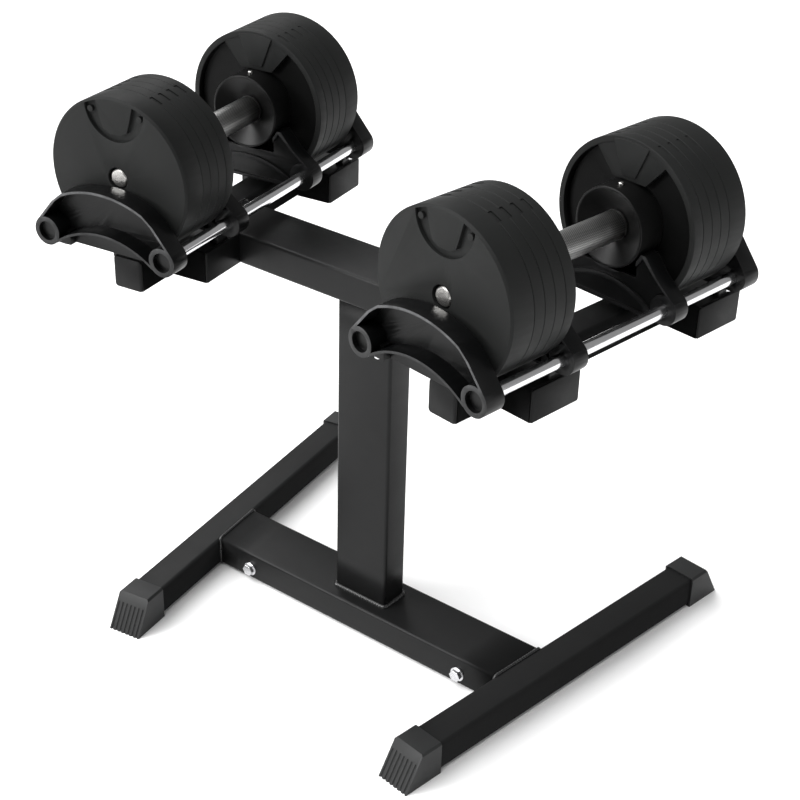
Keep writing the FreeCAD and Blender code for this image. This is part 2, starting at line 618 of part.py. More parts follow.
def weight_plate(side, end, index):
    """Round plate with a U-shaped slot outside and, past the first, a matching key inside."""
    sign = SIGN[end]
    outermost = index == len(THIN_PLATES)
    label = f"{side}_{end}_{'outer' if outermost else THIN_PLATES[index]}_plate"
    inner, outer = plate_span(index)
    profile = []
    if index == 0:
        profile += [("plate_bore", f"{inner} + cup_depth"), ("cup_radius - 1", f"{inner} + cup_depth"),
                    ("cup_radius", inner)]
    else:
        profile += [("plate_bore", inner)]
    edge = "outer_edge" if outermost else "plate_edge"
    profile += [("plate_radius - plate_edge", inner), ("plate_radius", f"{inner} + plate_edge"),
                ("plate_radius", f"{outer} - {edge}"), (f"plate_radius - {edge}", outer)]
    if outermost:
        profile += [("mouth_radius", outer), ("mouth_radius", f"{outer} - mouth_depth"),
                    ("plate_bore", f"{outer} - mouth_depth")]
    else:
        profile += [("plate_bore", outer)]
    if sign < 0:
        profile = [(radius, f"-({along})") for radius, along in profile]
    body = turned(label + "_turned", profile)
    if index == 0:
        level = f"{inner} + cup_depth + fuse_depth"
        trapezoid = [("-lug_narrow", "hub_radius + fuse_depth"), ("lug_narrow", "hub_radius + fuse_depth"),
                     ("lug_broad", "cup_radius + 1"), ("-lug_broad", "cup_radius + 1")]
        tongue = [("-tongue_narrow", "hub_radius + 6"), ("tongue_narrow", "hub_radius + 6"),
                  ("tongue_broad", "plate_radius"), ("-tongue_broad", "plate_radius")]
        lug = prism(label + "_lug", trapezoid, *span(sign, f"{inner} + lug_sink", level))
        raised = prism(label + "_lug_tongue", tongue, *span(sign, f"{inner} - tongue_stand", level))
        clip = rod(label + "_lug_clip", "plate_radius - 3", *span(sign, f"{inner} - tongue_stand", level))
        extra = common(label + "_lug_fit", fuse(label + "_lugs", lug, raised), clip)
    else:
        extra = key_band(label + "_key", sign, f"{inner} - key_depth + key_gap", f"{inner} + fuse_depth",
                         "key_gap", "plate_radius - 1")
    rim = "plate_radius - slot_lip" if outermost else "plate_radius + 1"
    slot = key_band(label + "_slot", sign, f"{outer} - key_depth", f"{outer} + 1", "0", rim)
    plate = cut(label + "_slotted", fuse(label + "_whole", body, extra), slot)
    if outermost:
        reach = span(sign, f"{outer} - key_depth - 1", f"{outer} - stud_sink")
        studs = [rod(f"{label}_stud_{way + 1}", "stud_radius", *reach, x=f"{way} * stud_spread",
                     z="axis_height + stud_rise") for way in (-1, 1)]
        plate = fuse(label + "_studded", plate, *studs)
    place_unit(plate, label, side)


def hub(side, end):
    """Drum that joins the core tube to the innermost plate, with a conical dish round the grip."""
    label = f"{side}_{end}_hub"
    sign = SIGN[end]
    floor = "stack_inner + cup_depth"
    profile = [("core_radius + core_slack", "hub_face + hub_dish"), ("hub_throat", "hub_face + hub_dish"),
               ("hub_radius - hub_lip", "hub_face"), ("hub_radius - hub_edge", "hub_face"),
               ("hub_radius", "hub_face + hub_edge"), ("hub_radius", floor),
               ("core_radius + core_slack", floor)]
    if sign < 0:
        profile = [(radius, f"-({along})") for radius, along in profile]
    drum = turned(label + "_drum", profile)
    if end == "far":
        deep = "pin_length - pin_stand + pin_travel + pin_spare"
        well = doc.addObject("Part::Cylinder", label + "_pin_well")
        bind(well, Radius="pin_radius + pin_clear", Height=f"{deep} + 5")
        move(well, 0, "pin_place", f"axis_height + hub_radius - ({deep})")
        drum = cut(label + "_bored", drum, well)
    place_unit(drum, label, side)


def lock_pin(side):
    """Sprung pin on top of the far hub, with a bevelled tip."""
    label = f"{side}_lock_pin"
    tip = "axis_height + hub_radius + pin_stand"
    stem = doc.addObject("Part::Cylinder", label + "_stem")
    bind(stem, Radius="pin_radius", Height="pin_length - pin_bevel")
    move(stem, 0, "pin_place", f"{tip} - pin_length")
    bevel = doc.addObject("Part::Cone", label + "_bevel")
    bind(bevel, Radius1="pin_radius", Radius2="pin_radius - pin_bevel", Height="pin_bevel")
    move(bevel, 0, "pin_place", f"{tip} - pin_bevel")
    place_unit(fuse(label + "_whole", stem, bevel), label, side)


def grip(side):
    edge = "plate_edge / 2"
    profile = [("grip_bore", "-grip_half"), (f"grip_radius - {edge}", "-grip_half"),
               ("grip_radius", f"-grip_half + {edge}"), ("grip_radius", f"grip_half - {edge}"),
               (f"grip_radius - {edge}", "grip_half"), ("grip_bore", "grip_half")]
    place_unit(turned(f"{side}_grip_turned", profile), f"{side}_grip", side)


def core_tube(side):
    """Fixed tube inside the grip that guides both bars, slotted for their drive pegs."""
    label = f"{side}_core_tube"
    profile = [("core_bore", "-core_half"), ("core_radius", "-core_half"),
               ("core_radius", "core_half"), ("core_bore", "core_half")]
    slots = []
    for end in ("near", "far"):
        start, length = span(SIGN[end], "slot_inner", "slot_outer")
        slots.append(block(f"{label}_{end}_slot", "0", start, "axis_height", "slot_width", length,
                           "slim_tube"))
    place_unit(cut(label + "_slotted", turned(label + "_turned", profile), *slots), label, side)


def selector_bar(side, end):
    label = f"{side}_{end}_selector_bar"
    profile = [(0, "bar_inner"), ("bar_radius - bar_edge", "bar_inner"),
               ("bar_radius", "bar_inner + bar_edge"), ("bar_radius", "bar_outer - bar_edge"),
               ("bar_radius - bar_edge", "bar_outer"), (0, "bar_outer")]
    if end == "near":
        profile = [(radius, f"-({along})") for radius, along in profile]
    place_unit(turned(label + "_turned", profile), label, side)


# ---------------------------------------------------------------- build
bolt_sides = {-1: "left", 1: "right"}
base_holes = [rod(f"base_{word}_hole", "shank_radius + bolt_slack", "-wide_tube", "wide_tube",
                  x=f"{way} * base_bolt_x", z="base_bolt_z") for way, word in bolt_sides.items()]
make_beam("base_beam", "foot_lift", base_holes)
make_beam("top_beam", "beam_top - slim_tube", [stub_trim("left"), stub_trim("right")])
make_post()

bolts = []
for way, word in bolt_sides.items():
    spot = f"{way} * base_bolt_x"
    face = "-wide_tube / 2"
    head = hexagon(f"{word}_bolt_head", "head_radius", "head_height", ALONG_Y,
                   spot, f"{face} - washer_thick - head_height", "base_bolt_z")
    washer = rod(f"{word}_bolt_washer", "washer_radius", f"{face} - washer_thick", "washer_thick",
                 x=spot, z="base_bolt_z")
    shank = rod(f"{word}_bolt_shank", "shank_radius", f"{face} - 1", "bolt_length",
                x=spot, z="base_bolt_z")
    bolts.append(fuse(f"{word}_bolt", head, washer, shank))
place_centre(group("bolt_set", bolts), "frame_bolts")

plug_sets = []
screw_sets = []
for side in ("left", "right"):
    make_rail(side)
    for end in ("near", "far"):
        make_cap(side, end)
    make_carrier(side)
    for end in ("near", "far"):
        end_arch(side, end)
        saddle_rib(side, end)
    support_tube(side, -SIGN[side], f"{side}_inner_support_tube")
    support_tube(side, SIGN[side], f"{side}_outer_support_tube")
    for store, maker, word in ((plug_sets, unit_plugs, "plugs"), (screw_sets, unit_screws, "screws")):
        turned_set = group(f"{side}_{word}", maker(side))
        turn_with_unit(turned_set, side)
        store.append(turned_set)
    grip(side)
    core_tube(side)
    for end in ("near", "far"):
        hub(side, end)
        selector_bar(side, end)
        for index in range(len(THIN_PLATES) + 1):
            weight_plate(side, end, index)
    lock_pin(side)
place_centre(group("plug_set", plug_sets), "tube_plugs")
place_centre(group("screw_set", screw_sets), "boss_screws")

# ---------------------------------------------------------------- check and write
doc.recompute()
for obj in doc.Objects:
    if "Invalid" in obj.State or "Error" in obj.State:
        raise RuntimeError(f"{obj.Label} failed: {obj.State}")
os.makedirs("parts", exist_ok=True)
for label, obj in sorted(nodes.items()):
    shape = obj.Shape
    if shape.isNull() or not shape.isValid() or not shape.Solids:
        raise RuntimeError(f"{label} has no valid solid")
    shape.exportStep(f"parts/{label}.step")
print(len(nodes), "nodes written")
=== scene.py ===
# %% [markdown]
# # A pair of adjustable dumbbells on a floor stand
#
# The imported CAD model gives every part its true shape, size and place. This file
# gives those parts their looks: it softens the edges that a mould or a press would
# round, cuts the knurling of the grips as real geometry, and works out a finish for
# each material from noise and simple formulas. Nothing here moves a CAD part.

# %% Load the frame
import json
import math

import bmesh
import bpy
import numpy as np
from mathutils import Matrix, Vector


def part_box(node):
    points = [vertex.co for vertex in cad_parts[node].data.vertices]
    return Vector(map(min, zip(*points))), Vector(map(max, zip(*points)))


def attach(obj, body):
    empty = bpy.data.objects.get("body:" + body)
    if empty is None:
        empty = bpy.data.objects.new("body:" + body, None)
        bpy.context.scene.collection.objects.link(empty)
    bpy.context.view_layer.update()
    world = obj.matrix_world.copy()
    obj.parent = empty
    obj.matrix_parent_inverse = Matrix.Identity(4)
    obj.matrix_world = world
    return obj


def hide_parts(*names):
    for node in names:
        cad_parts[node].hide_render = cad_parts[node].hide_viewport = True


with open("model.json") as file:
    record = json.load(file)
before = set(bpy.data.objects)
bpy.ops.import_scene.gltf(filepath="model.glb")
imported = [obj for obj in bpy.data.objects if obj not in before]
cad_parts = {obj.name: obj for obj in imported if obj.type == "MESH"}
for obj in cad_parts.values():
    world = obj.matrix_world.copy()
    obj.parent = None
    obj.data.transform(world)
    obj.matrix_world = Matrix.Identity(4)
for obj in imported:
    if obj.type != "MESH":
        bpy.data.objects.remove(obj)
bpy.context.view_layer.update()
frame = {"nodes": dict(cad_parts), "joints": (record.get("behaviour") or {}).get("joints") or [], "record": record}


def new_object(name, data):
    """Object with the given data, linked into the scene at the origin."""
    made = bpy.data.objects.new(name, data)
    bpy.context.scene.collection.objects.link(made)
    return made


# %% [markdown]
# ## Where each dumbbell lies
#
# The turning joint of a grip already says where the dumbbell's axis is and which way
# it points. Three unit vectors built from it make a small frame of its own for each
# dumbbell: across, along and up. Every new piece is drawn in that frame.

# %% Dumbbell frames
SIDES = ("left", "right")
ENDS = ("near", "far")
JOINTS = {joint["name"]: joint for joint in frame["joints"]}


class Unit:
    """A dumbbell's own frame: origin on its axis, midway between the stacks."""

    def __init__(self, side):
        joint = JOINTS[f"{side}_grip_turn"]
        self.side = side
        self.origin = np.array(joint["pos_m"])
        self.along = np.array(joint["axis"])
        self.up = np.array((0.0, 0.0, 1.0))
        self.across = np.cross(self.along, self.up)

    def place(self, across, along, up):
        """Turn distances in the unit frame into points of the row frame."""
        parts = np.stack(np.broadcast_arrays(across, along, up), -1)
        return self.origin + parts @ np.array((self.across, self.along, self.up))

    def measure(self, points):
        """The opposite of place: row-frame points as (across, along, up)."""
        return (points - self.origin) @ np.array((self.across, self.along, self.up)).T


UNITS = {side: Unit(side) for side in SIDES}
for unit in UNITS.values():
    print(unit.side, "axis", np.round(unit.along, 4), "through", np.round(unit.origin, 4))


# %% [markdown]
# ## Shader maths as expressions
#
# A node tree is easier to read as a formula. `Term` wraps one output socket, and its
# operators add Math nodes, so `0.4 + 0.1 * noise` means what it says. Every other node
# comes from `Finish.node`, which takes the node's type, its settings and its inputs.

# %% Shader expressions
class Term:
    """One value in a material: an output socket that arithmetic can be done on."""

    def __init__(self, finish, socket):
        self.finish = finish
        self.socket = socket

    def _math(self, operation, *values):
        return self.finish.node("Math", {"operation": operation}, dict(enumerate(values)))

    def __add__(self, other):
        return self._math("ADD", self, other)

    def __sub__(self, other):
        return self._math("SUBTRACT", self, other)

    def __rsub__(self, other):
        return self._math("SUBTRACT", other, self)

    def __mul__(self, other):
        return self._math("MULTIPLY", self, other)

    def __pow__(self, other):
        return self._math("POWER", self, other)

    __radd__ = __add__
    __rmul__ = __mul__

    def sine(self):
        return self._math("SINE", self)

    def root(self):
        return self._math("SQRT", self)

    def ramp(self, low, high):
        """0 below low, 1 above high, and a smooth step between."""
        inputs = {"Value": self, "From Min": low, "From Max": high}
        return self.finish.node("MapRange", {"interpolation_type": "SMOOTHSTEP"}, inputs)


class Finish:
    """A material with one Principled surface, built from expressions."""

    def __init__(self, name, **fixed):
        self.material = bpy.data.materials.new(name)
        self.material.use_nodes = True
        self.tree = self.material.node_tree
        self.surface = self.tree.nodes["Principled BSDF"]
        for socket, value in fixed.items():
            self.surface.inputs[socket.replace("_", " ")].default_value = value

    def node(self, kind, settings=None, inputs=None, out=0):
        """Any node: its type, its settings, then the values or links of its sockets."""
        made = self.tree.nodes.new("ShaderNode" + kind)
        for key, value in (settings or {}).items():
            setattr(made, key, value)
        for key, value in (inputs or {}).items():
            if isinstance(value, Term):
                self.tree.links.new(value.socket, made.inputs[key])
            else:
                made.inputs[key].default_value = value
        return Term(self, made.outputs[out])

    def place(self):
        """Object coordinates, which are metres in the row frame."""
        return self.node("TexCoord", out="Object")

    def noise(self, scale, detail=3.0, where=None, rough=0.5):
        inputs = {"Vector": where or self.place(), "Scale": scale, "Detail": detail, "Roughness": rough}
        return self.node("TexNoise", None, inputs, "Fac")

    def mix(self, factor, first, second):
        """Colour between two colours; the Mix node keeps its colour sockets at 6, 7 and 2."""
        first, second = (end if isinstance(end, Term) else (*end, 1.0) for end in (first, second))
        return self.node("Mix", {"data_type": "RGBA"}, {0: factor, 6: first, 7: second}, 2)

    def feed(self, **inputs):
        """Link expressions to the surface."""
        for key, value in inputs.items():
            self.tree.links.new(value.socket, self.surface.inputs[key.replace("_", " ")])
        return self

    def bump(self, height, strength, distance, normal=None):
        inputs = {"Height": height, "Strength": strength, "Distance": distance}
        if normal is not None:
            inputs["Normal"] = normal
        return self.node("Bump", None, inputs, "Normal")


# %% [markdown]
# ## The finishes
#
# Nearly everything here is black, so what tells the materials apart is how they
# shine. Powder coat has a fine orange-peel skin, the cradle's nylon is glossy with a
# slow waviness, the foot caps are dull with a spark-eroded grain, and the plates have
# a tight, even satin coat that picks up faint handling marks.

# %% Black finishes
# Colour of painted shade in hollows.
PAINTED_SHADE_BLACK = (0.0012, 0.0012, 0.0012)


def grained_black(name, colour, roughness, grain, grain_depth, shine, painted_shade=None):
    """Black skin: slow tone changes, a fine grain in the bump, patchy gloss, and painted shade where a shade mask
    is given.
    """
    finish = Finish(name, Specular_IOR_Level=shine)
    cloud = finish.noise(9.0, 4.0)
    fine = finish.noise(grain, 2.0)
    patch = finish.noise(38.0, 5.0, rough=0.6)
    lighter = tuple(1.45 * part for part in colour)
    tone = finish.mix(cloud.ramp(0.3, 0.75) * 0.7 + fine * 0.3, colour, lighter)
    if painted_shade:
        # Painted shade: the colour turns to near black where the shade mask is high.
        tone = finish.mix(painted_shade(finish), tone, PAINTED_SHADE_BLACK)
    skin = finish.bump(fine, 0.35, grain_depth)
    gloss = roughness + 0.16 * (patch - 0.5)
    return finish.feed(Base_Color=tone, Roughness=gloss, Normal=skin).material


powder_steel = grained_black("powder_steel", (0.006, 0.0061, 0.0062), 0.42, 1100.0, 0.00012, 0.16)
moulded_cap = grained_black("moulded_cap", (0.0105, 0.0108, 0.011), 0.5, 1700.0, 0.00016, 0.32)
# The weld bead's colour is lighter than the powder coat it belongs to: a painted highlight along the bead.
weld_bead = grained_black("weld_bead", (0.011, 0.0112, 0.0114), 0.28, 900.0, 0.0001, 0.5)
tube_plug = grained_black("tube_plug", (0.0032, 0.0033, 0.0034), 0.5, 1700.0, 0.00012, 0.12)
hub_casing = grained_black("hub_casing", (0.0037, 0.0037, 0.0037), 0.36, 1500.0, 0.00006, 0.16)
PLATE_COAT = ((0.011, 0.0114, 0.0112), 0.52, 1300.0, 0.0001, 0.1)
coated_plate = grained_black("coated_plate", *PLATE_COAT)


# %% [markdown]
# Some finishes follow the dumbbell they belong to. The cradle's nylon is painted paler
# along its open edges, a painted highlight for the light they catch, and the plate coat
# gets painted shade down in each cup. Bright metal is all reflection, so its detail is
# in the roughness: the chrome tubes carry faint polishing lines along their length, and
# the turned end of a selector bar has rings round its centre.

# %% Finishes in a dumbbell's frame
# Places of the rims along the axis, the weight of their painted highlight, and how far from a rim it reaches.
RIMS = ((0.217, 1.0), (0.091, 0.3), (0.07, 0.3))
HIGHLIGHT_BAND = 0.00045
BOSS_TOP, BOSS_FADE = -0.06, 0.012
CUP_EDGE, CUP_FLOOR, CUP_RADIUS, CUP_WALL = 0.0932, 0.1, 0.0865, 0.001
RING_WAVES = 9000.0


def unit_place(finish, unit):
    """Object coordinates turned into the dumbbell's own frame, in metres."""
    turn = Matrix((unit.across, unit.along, unit.up)).to_euler()
    shift = -(np.array((unit.across, unit.along, unit.up)) @ unit.origin)
    inputs = {"Vector": finish.place(), "Rotation": turn, "Location": shift}
    return finish.node("Mapping", {"vector_type": "POINT"}, inputs)


def moulding_with_painted_rim_highlight(unit):
    """Glossy black nylon with a painted highlight: paler colour on its open edges, where |along| is near a rim's
    place.
    """
    finish = Finish(f"{unit.side}_tray_moulding", Specular_IOR_Level=0.18)
    here = unit_place(finish, unit)
    along = finish.node("SeparateXYZ", None, {"Vector": here}, "Y")
    up = finish.node("SeparateXYZ", None, {"Vector": here}, "Z")
    distance = (along ** 2.0).root()
    rim = sum(weight * ((distance - place) ** 2.0).root().ramp(HIGHLIGHT_BAND, 0.0)
              for place, weight in RIMS)
    highlight_breakup = finish.noise(90.0, 4.0).ramp(0.3, 0.65)
    # Painted highlight: the rims are paler in colour, broken up by noise, and weaker below the tops of the bosses.
    painted_rim_highlight = rim * (0.5 + 0.5 * highlight_breakup) * (0.2 + 0.8 * up.ramp(BOSS_TOP, BOSS_TOP + BOSS_FADE))
    fine = finish.noise(2600.0, 2.0)
    tone = finish.mix(painted_rim_highlight, (0.0026, 0.0027, 0.0028), (0.075, 0.076, 0.078))
    skin = finish.bump(finish.noise(55.0, 1.0), 0.2, 0.0003, finish.bump(fine, 0.35, 0.00002))
    gloss = 0.27 + 0.1 * finish.noise(38.0, 5.0)
    return finish.feed(Base_Color=tone, Roughness=gloss, Normal=skin).material


def polished_chrome(unit):
    """Chrome tube: bright, with polishing lines drawn along the tube."""
    finish = Finish(f"{unit.side}_chrome", Metallic=1.0, Base_Color=(0.78, 0.78, 0.79, 1.0))
    here = unit_place(finish, unit)
    stretched = finish.node("Mapping", {"vector_type": "POINT"},
                            {"Vector": here, "Scale": (1.0, 0.02, 1.0)})
    lines = finish.noise(1500.0, 3.0, stretched)
    smear = finish.noise(26.0, 4.0, here)
    gloss = 0.1 + 0.12 * lines + 0.1 * smear.ramp(0.45, 0.75)
    skin = finish.bump(lines, 0.1, 0.00004)
    return finish.feed(Roughness=gloss, Normal=skin).material


def turned_bar(unit):
    """Turned steel: fine rings round the axis, worked out from the distance to it."""
    finish = Finish(f"{unit.side}_bar_steel", Metallic=1.0)
    here = unit_place(finish, unit)
    across = finish.node("SeparateXYZ", None, {"Vector": here}, "X")
    up = finish.node("SeparateXYZ", None, {"Vector": here}, "Z")
    radius = (across ** 2.0 + up ** 2.0).root()
    rings = (radius * RING_WAVES).sine()
    tone = finish.mix(finish.noise(300.0, 3.0, here), (0.5, 0.49, 0.47), (0.68, 0.67, 0.65))
    gloss = 0.3 + 0.05 * rings
    skin = finish.bump(rings, 0.25, 0.00004)
    return finish.feed(Base_Color=tone, Roughness=gloss, Normal=skin).material


def plain_metal(name, dark, light, roughness, scale):
    """Plated or drawn steel: cloudy tone and gloss."""
    finish = Finish(name, Metallic=1.0)
    cloud = finish.noise(scale, 4.0)
    gloss = roughness + 0.2 * (cloud - 0.5)
    return finish.feed(Base_Color=finish.mix(cloud, dark, light), Roughness=gloss,
                       Normal=finish.bump(cloud, 0.1, 0.00005)).material


def painted_cup_shade(unit):
    """Painted shade down in the cup: the coat's colour goes to black inside its wall, deeper than its edge."""
    def painted_shade(finish):
        here = unit_place(finish, unit)
        across, along, up = (finish.node("SeparateXYZ", None, {"Vector": here}, axis) for axis in "XYZ")
        radius = (across ** 2.0 + up ** 2.0).root()
        depth = (along ** 2.0).root().ramp(CUP_EDGE, CUP_FLOOR)
        return 0.85 * depth * radius.ramp(CUP_RADIUS + CUP_WALL, CUP_RADIUS - CUP_WALL)
    return painted_shade


tray_moulding = {side: moulding_with_painted_rim_highlight(UNITS[side]) for side in SIDES}
cup_coat_with_painted_shade = {side: grained_black(f"{side}_cup_coat_with_painted_shade", *PLATE_COAT, painted_shade=painted_cup_shade(UNITS[side]))
              for side in SIDES}
chrome = {side: polished_chrome(UNITS[side]) for side in SIDES}
bar_steel = {side: turned_bar(UNITS[side]) for side in SIDES}
zinc = plain_metal("zinc_fastener", (0.55, 0.55, 0.56), (0.78, 0.78, 0.8), 0.28, 420.0)
drawn_steel = plain_metal("plain_steel", (0.2, 0.2, 0.2), (0.34, 0.34, 0.34), 0.35, 200.0)

# %% [markdown]
# ## Dress the CAD parts
#
# Each CAD node takes the finish that its record slot names, or one of its own. Slots
# with a version for each side, such as the chrome, are looked up by the node's side.

# %% Materials on the CAD nodes
SLOT_OF = {part["node"]: part["material_slot"] for part in frame["record"]["subparts"]}
FINISH_OF = {
    "powder_steel": powder_steel,
    "moulded_cap": moulded_cap,
    "tray_moulding": tray_moulding,
    "hub_casing": hub_casing,
    "coated_plate": coated_plate,
    "chrome_tube": chrome,
    "bright_bar": bar_steel,
    "knurled_steel": drawn_steel,
    "plain_steel": drawn_steel,
    "zinc_fastener": zinc,
    "tube_plugs": tube_plug,
    "cup_plate": cup_coat_with_painted_shade,
}


def finish_for(name):
    """The material of a CAD node, by its own name or by its slot."""
    kind = "cup_plate" if name.endswith("cup_plate") else name
    finish = FINISH_OF.get(kind) or FINISH_OF[SLOT_OF[name]]
    return finish[name.split("_")[0]] if isinstance(finish, dict) else finish


def dress(obj, material):
    """Give an object one material."""
    obj.data.materials.clear()
    obj.data.materials.append(material)


for name, obj in frame["nodes"].items():
    dress(obj, finish_for(name))
print(len(frame["nodes"]), "CAD nodes dressed")


# %% [markdown]
# ## Soften the edges
#
# A CAD edge is perfectly sharp, and a sharp edge catches no light. The real mouldings
# and pressings have edges of half a millimetre to two millimetres, and their thin
# highlights are what makes black parts readable. A copy of the node is merged into one
# skin and given a live Bevel, and it stands for the node.

# %% Softened copies
BODIES = frame["record"]["behaviour"]["bodies"]
BODY_OF = {part: body for body, parts in BODIES.items() for part in parts}
WELD_DISTANCE = 1e-6
FLAT_ANGLE, EDGE_ANGLE = math.radians(0.5), math.radians(28.0)


def stand_for(piece, node, material=None):
    """Let a piece take a CAD node's place, on its body, in its slot."""
    dress(piece, material or finish_for(node))
    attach(piece, BODY_OF[node])
    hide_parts(node)
    return piece


def softened(name, width, segments=3):
    """Copy of a CAD node with its edges rounded by `width` metres."""
    source = frame["nodes"][name]
    mesh = source.data.copy()
    work = bmesh.new()
    work.from_mesh(mesh)
    bmesh.ops.remove_doubles(work, verts=work.verts, dist=WELD_DISTANCE)
    bmesh.ops.dissolve_limit(work, angle_limit=FLAT_ANGLE, verts=work.verts, edges=work.edges)
    for face in work.faces:
        face.smooth = True
    work.to_mesh(mesh)
    work.free()
    piece = new_object(name + "_soft", mesh)
    bevel = piece.modifiers.new("edge", "BEVEL")
    bevel.width = width
    bevel.segments = segments
    bevel.limit_method = "ANGLE"
    bevel.angle_limit = EDGE_ANGLE
    bevel.harden_normals = True
    return stand_for(piece, name)


EDGES = {"_arch": 0.0012, "_saddle": 0.0014, "_cap": 0.0008, "_outer_plate": 0.0009,
         "_cup_plate": 0.0006, "frame_bolts": 0.0005, "boss_screws": 0.0004}
for name in sorted(frame["nodes"]):
    widths = [width for ending, width in EDGES.items() if name.endswith(ending)]
    if widths:
        softened(name, widths[0])


# %% [markdown]
# ## Surfaces from arrays
#
# The pieces below are grids of points: a closed outline repeated along a path. Both
# are plain numpy arrays, so a surface is one formula and needs no loop over points.

# %% Grid surfaces
def grid_faces(rows, columns, closed_rows=False):
    """Quads of a grid that closes on itself across its columns."""
    last = rows if closed_rows else rows - 1
    row, column = np.meshgrid(np.arange(last), np.arange(columns), indexing="ij")
    next_row, after = (row + 1) % rows, (column + 1) % columns
    corners = (row * columns + column, row * columns + after, next_row * columns + after,
               next_row * columns + column)
    return np.stack(corners, -1).reshape(-1, 4)


def mesh_object(name, points, closed_rows=False, capped=False, attributes=None):
    """Object from a (rows, columns, 3) grid, with optional end caps and per-point values."""
    rows, columns = points.shape[:2]
    faces = grid_faces(rows, columns, closed_rows).tolist()
    if capped:
        last_ring = (rows - 1) * columns
        faces += [list(range(columns))[::-1], list(range(last_ring, last_ring + columns))]
    mesh = bpy.data.meshes.new(name)
    mesh.from_pydata(points.reshape(-1, 3).tolist(), [], faces)
    for key, values in (attributes or {}).items():
        store = mesh.attributes.new(key, "FLOAT", "POINT").data
        store.foreach_set("value", values.astype(np.float32).ravel())
    work = bmesh.new()
    work.from_mesh(mesh)
    bmesh.ops.recalc_face_normals(work, faces=work.faces)
    work.to_mesh(mesh)
    work.free()
    mesh.shade_smooth()
    return new_object(name, mesh)


def rounded_loop(wide, high, radius, steps=7):
    """Rounded rectangle about the origin: each corner is centre + radius * (cos a, sin a)."""
    quarter = np.linspace(0, math.pi / 2, steps)
    turn = quarter + np.arange(4)[:, None] * math.pi / 2
    side = np.array(((1, 1), (-1, 1), (-1, -1), (1, -1)))
    first = side[:, :1] * (wide / 2 - radius) + radius * np.cos(turn)
    second = side[:, 1:] * (high / 2 - radius) + radius * np.sin(turn)
    return first.ravel(), second.ravel()


# %% [markdown]
# ## The hubs
#
# A hub is turned, so it is one outline swept round the dumbbell's axis. Every corner of
# the outline is eased by a small curve, which keeps the cone of the dish clean and lets
# its rim catch a thin ring of light. The far hub then gets the well for its lock pin.

# %% Hubs
HUB_RADIUS = 0.045
HUB_OUTLINE = ((0.01343, 0.079), (0.0176, 0.079), (0.0425, 0.066), (HUB_RADIUS, 0.066),
               (HUB_RADIUS, 0.102), (0.01343, 0.102))
HUB_EASE = 0.0009
WELL_RADIUS, WELL_PLACE, WELL_DEPTH = 0.00308, 0.081, 0.0138
SHARP_ANGLE = math.radians(40)


def eased(outline, ease, steps=5):
    """Closed outline whose corners are curves: corner + ease * ((1 - t)^2 back + t^2 ahead)."""
    corner = np.array(outline)
    back, ahead = np.roll(corner, 1, axis=0) - corner, np.roll(corner, -1, axis=0) - corner
    back /= np.linalg.norm(back, axis=1, keepdims=True)
    ahead /= np.linalg.norm(ahead, axis=1, keepdims=True)
    share = np.linspace(0, 1, steps)[None, :, None]
    curve = (1 - share) ** 2 * back[:, None] + share ** 2 * ahead[:, None]
    beyond = 1.3
    curve = np.concatenate((beyond * back[:, None], curve, beyond * ahead[:, None]), 1)
    return (corner[:, None] + ease * curve).reshape(-1, 2)


def turned_hub(unit, end, columns=160):
    """The outline turned about the axis: across = r sin a, up = r cos a."""
    node = f"{unit.side}_{end}_hub"
    radius, along = eased(HUB_OUTLINE, HUB_EASE).T[:, :, None]
    way = -1 if end == "near" else 1
    angle = np.linspace(0, 2 * math.pi, columns, endpoint=False)
    points = unit.place(radius * np.sin(angle), way * along, radius * np.cos(angle))
    return stand_for(mesh_object(node + "_turned", points, closed_rows=True), node)


def drill(piece, place, radius, depth):
    """Cut a vertical hole that starts above the piece and ends `depth` under `place`."""
    angle = np.linspace(0, 2 * math.pi, 40, endpoint=False)
    level = np.array((-depth, depth))[:, None]
    loop = np.stack(np.broadcast_arrays(radius * np.cos(angle), radius * np.sin(angle), level), -1)
    tool = mesh_object("drill", loop + np.array(place), capped=True)
    hole = piece.modifiers.new("hole", "BOOLEAN")
    hole.object = tool
    bored = bpy.data.meshes.new_from_object(piece.evaluated_get(bpy.context.evaluated_depsgraph_get()))
    piece.modifiers.remove(hole)
    piece.data = bored
    piece.data.set_sharp_from_angle(angle=SHARP_ANGLE)
    bpy.data.objects.remove(tool)


for unit in UNITS.values():
    for end in ENDS:
        hub = turned_hub(unit, end)
        if end == "far":
            drill(hub, unit.place(0.0, WELL_PLACE, HUB_RADIUS), WELL_RADIUS, WELL_DEPTH)
        print(hub.name, len(hub.data.polygons), "faces")


# %% [markdown]
# ## Tubes with rolled corners
#
# Rectangular steel tube is rolled, so its corners are round, and the soft line of
# light along each corner is most of what shows. A tube here is the rounded outline
# carried from one end plane to the other. Both beams end against tubes that are turned
# by the splay angle, so their end planes lean: x = reach + y * tan(splay).

# %% Steel tubes
WAYS = {-1: "left", 1: "right"}
SPLAY = math.atan2(UNITS["right"].along[0], UNITS["right"].along[1])
ROLLED = 0.0042
CUT_CORNER = 0.0024
SLIM = 0.04
POST_SECTION = (0.08, 0.04)
TUBE_RINGS = 9
middle_y = UNITS["right"].origin[1]


def box_of(name):
    """Low and high corner of a CAD node."""
    return (np.array(corner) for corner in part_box(name))


